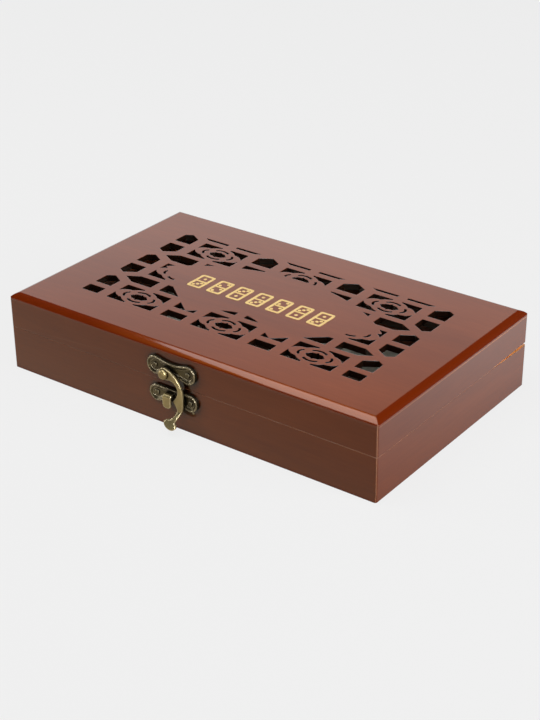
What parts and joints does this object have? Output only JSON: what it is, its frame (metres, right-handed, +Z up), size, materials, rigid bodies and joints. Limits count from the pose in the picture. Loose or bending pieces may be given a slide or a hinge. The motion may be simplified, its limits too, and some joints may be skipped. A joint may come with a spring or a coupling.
{
  "type": "domino storage box",
  "caption": "Shallow lacquered box for a domino set, with a fretwork lid on butt hinges, a gilt inlay row and a swinging hook latch at the front.",
  "frame": {"origin": "middle of the underside of the case, on the surface it stands on", "axes": "+X along the length, to the right as seen from the latch side; +Y towards the hinges; +Z up"},
  "size_m": [0.19, 0.127, 0.0361],
  "materials": {
    "lacquered_wood": "glossy reddish brown lacquer",
    "floor_wood": "thin satin panel",
    "lining": "pale felt",
    "gilt": "bright gilt inlay",
    "antique_brass": "antiqued, bright on the edges"
  },
  "bodies": {
    "base": {"base_front_wall": "lacquered_wood", "base_back_wall": "lacquered_wood", "base_left_wall": "lacquered_wood", "base_right_wall": "lacquered_wood", "base_floor_panel": "floor_wood", "base_lining": "lining", "left_hinge_base_leaf": "antique_brass", "right_hinge_base_leaf": "antique_brass", "left_hinge_pin": "antique_brass", "right_hinge_pin": "antique_brass", "hinge_screws_base": "antique_brass", "latch_catch_plate": "antique_brass", "latch_nails_base": "antique_brass"},
    "lid": {"lid_front_wall": "lacquered_wood", "lid_back_wall": "lacquered_wood", "lid_left_wall": "lacquered_wood", "lid_right_wall": "lacquered_wood", "lid_fretwork_panel": "lacquered_wood", "lid_inlay": "gilt", "left_hinge_lid_leaf": "antique_brass", "right_hinge_lid_leaf": "antique_brass", "hinge_screws_lid": "antique_brass", "latch_hook_plate": "antique_brass", "latch_pivot_rivet": "antique_brass", "latch_nails_lid": "antique_brass"},
    "hook": {"latch_hook": "antique_brass"}
  },
  "joints": [
    {"name": "lid_hinge", "type": "hinge", "parent": "base", "child": "lid", "pos_m": [0, 0.05985, 0.02005], "axis": [-1, 0, 0], "range_deg": [0, 180]},
    {"name": "latch_swing", "type": "hinge", "parent": "lid", "child": "hook", "pos_m": [-0.0064, -0.06035, 0.0252], "axis": [0, -1, 0], "range_deg": [-12, 95]}
  ]
}
